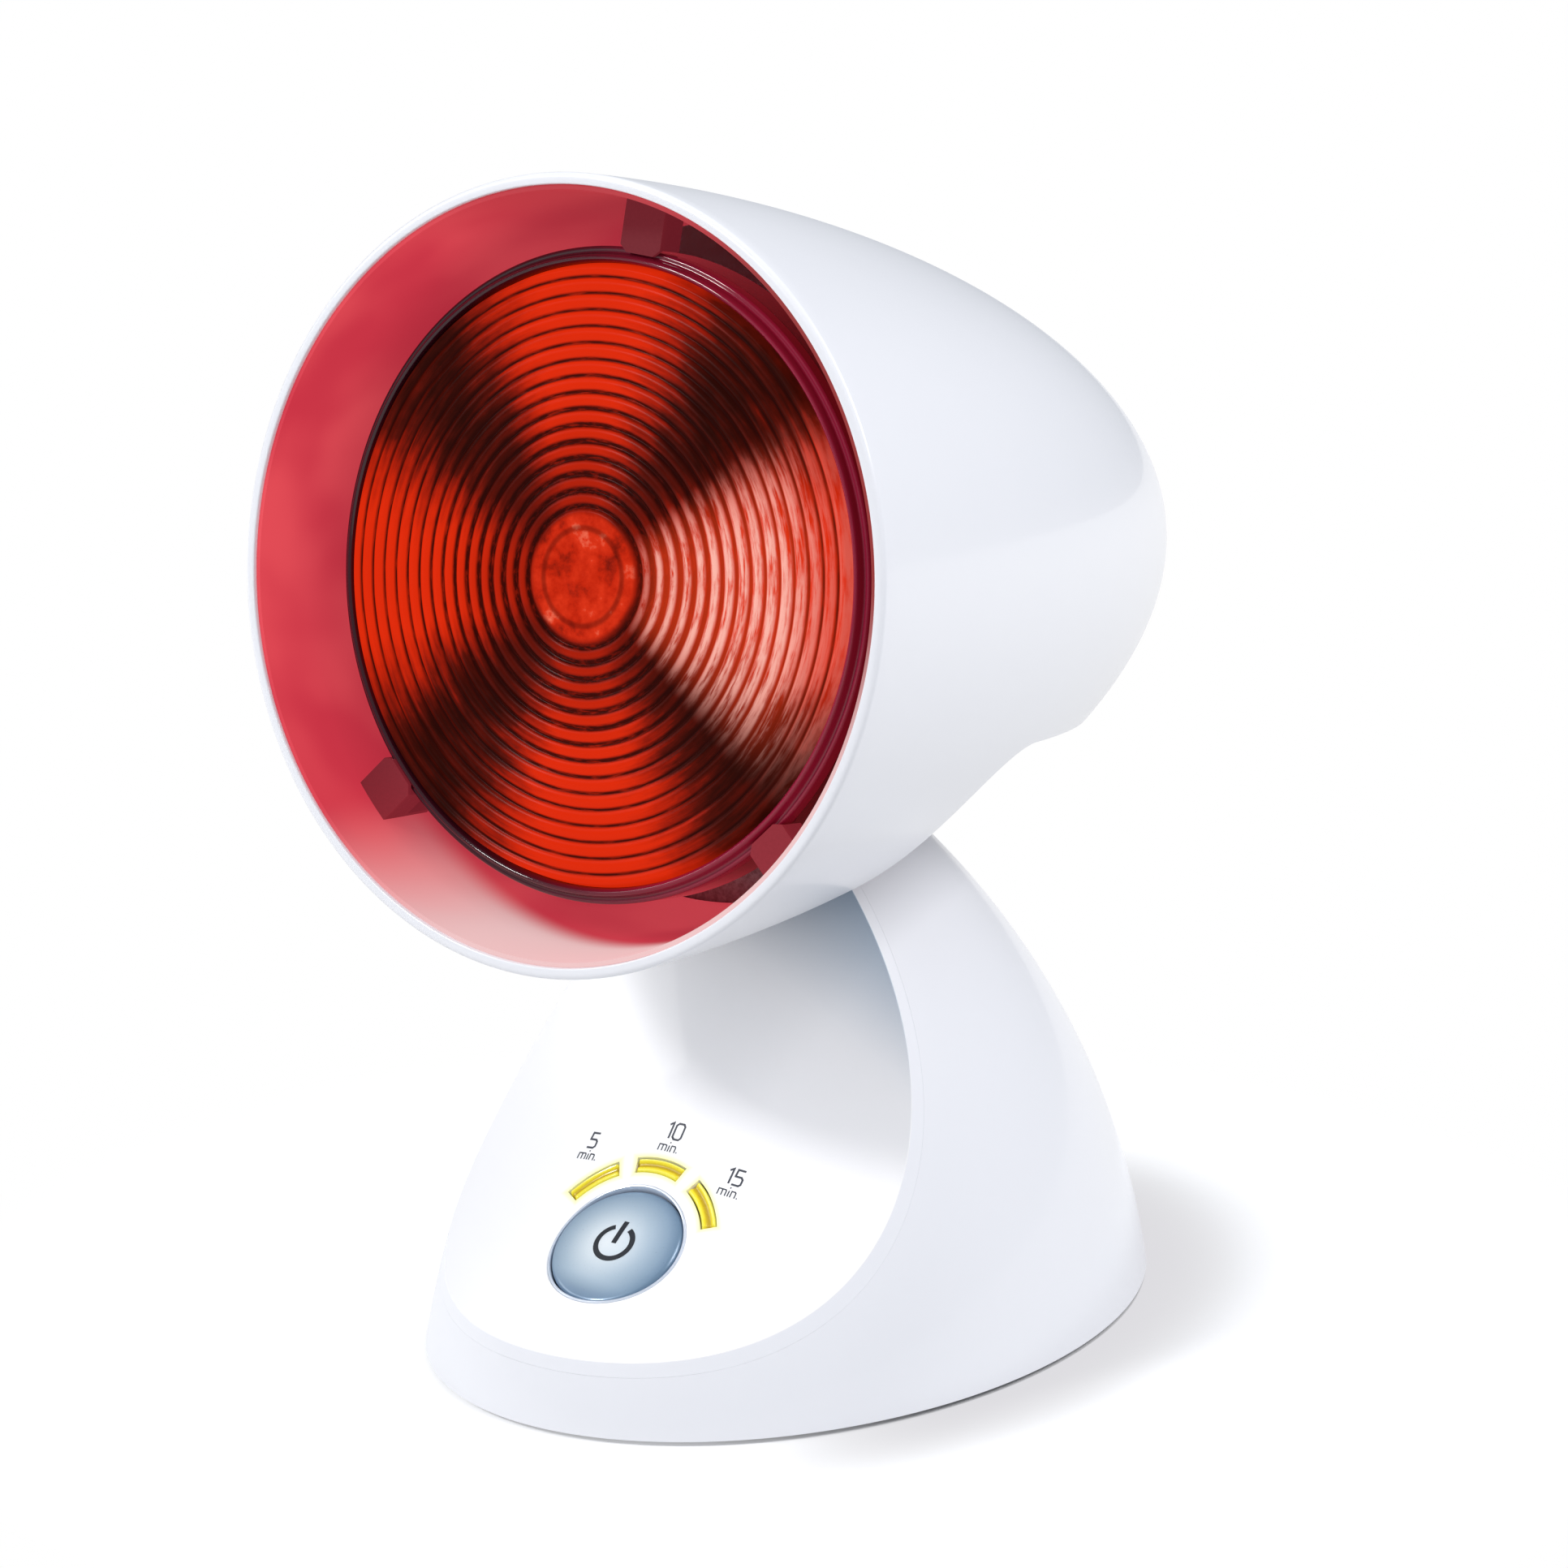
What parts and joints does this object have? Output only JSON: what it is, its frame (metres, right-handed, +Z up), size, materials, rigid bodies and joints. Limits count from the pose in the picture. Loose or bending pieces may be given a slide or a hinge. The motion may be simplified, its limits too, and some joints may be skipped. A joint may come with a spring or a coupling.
{
  "type": "infrared heat therapy lamp",
  "caption": "Table-top infrared heat lamp: a domed base with a power button and timer lights carries a tilting round shade with a ribbed red lamp.",
  "frame": {"origin": "on the table, under the middle of the whole lamp from front to back and from side to side", "axes": "+Z up, the lamp and the control panel face -Y, +X is to the right as seen from the front"},
  "size_m": [0.146, 0.2062, 0.2331],
  "materials": {
    "shell_white": "gloss",
    "panel_white": "gloss",
    "plate_grey": "matt",
    "dark_rubber": "matt",
    "screw_steel": "satin",
    "ballast_iron": "rough",
    "ring_pale": "gloss",
    "button_blue": "gloss",
    "light_yellow": "glowing",
    "board_green": "satin",
    "led_cream": "clear",
    "part_black": "matt",
    "plunger_cream": "matt",
    "core_steel": "varnished",
    "relay_blue": "gloss",
    "sleeve_black": "gloss",
    "terminal_green": "matt",
    "axle_steel": "satin",
    "washer_brown": "matt",
    "liner_bright": "bright",
    "chassis_steel": "zinc plated",
    "clip_steel": "bright",
    "lens_red": "ribbed glass",
    "bowl_red": "glass, mirrored inside",
    "filament_grey": "wire and glass",
    "cap_brass": "bright",
    "socket_white": "glazed"
  },
  "bodies": {
    "base": {"base_shell": "shell_white", "control_panel": "panel_white", "base_plate": "plate_grey", "foot_pads": "dark_rubber", "base_screws": "screw_steel", "ballast_weight": "ballast_iron", "ballast_screws": "screw_steel", "cord_gland": "dark_rubber", "button_frame": "ring_pale", "light_bar_5": "light_yellow", "light_bar_10": "light_yellow", "light_bar_15": "light_yellow", "control_board": "board_green", "control_screws": "screw_steel", "timer_leds": "led_cream", "timer_chip": "part_black", "switch_body": "part_black", "power_board": "board_green", "power_board_screws": "screw_steel", "transformer": "core_steel", "relay": "relay_blue", "capacitor": "sleeve_black", "terminal_block": "terminal_green", "hinge_axle": "axle_steel", "hinge_nut": "axle_steel", "friction_washers": "washer_brown", "spring_washer": "axle_steel"},
    "button": {"power_button": "button_blue"},
    "plunger": {"switch_plunger": "plunger_cream"},
    "shade": {"shade_shell": "shell_white", "heat_liner": "liner_bright", "hood_chassis": "chassis_steel", "chassis_screws": "screw_steel", "hinge_yoke": "chassis_steel", "yoke_screws": "screw_steel", "yoke_nuts": "screw_steel", "lamp_clips": "clip_steel", "lamp_lens": "lens_red", "lamp_reflector": "bowl_red", "lamp_filament": "filament_grey", "lamp_cap": "cap_brass", "lamp_contact": "part_black", "socket_body": "socket_white", "socket_contact": "cap_brass", "socket_bracket": "chassis_steel", "socket_screws": "screw_steel"}
  },
  "joints": [
    {"name": "shade_tilt", "type": "hinge", "parent": "base", "child": "shade", "pos_m": [0, -0.00981, 0.104], "axis": [-1, 0, 0], "range_deg": [-15, 30]},
    {"name": "button_press", "type": "slide", "parent": "base", "child": "button", "axis": [0, 0.5793, -0.8151], "range_m": [0, 0.0005], "stiffness_N_per_m": 1500, "springref_m": -0.0002},
    {"name": "plunger_press", "type": "slide", "parent": "base", "child": "plunger", "axis": [0, 0.5793, -0.8151], "range_m": [0, 0.0005]}
  ],
  "couplings": [
    {"joint": "plunger_press", "follows": "button_press", "ratio": 1}
  ]
}
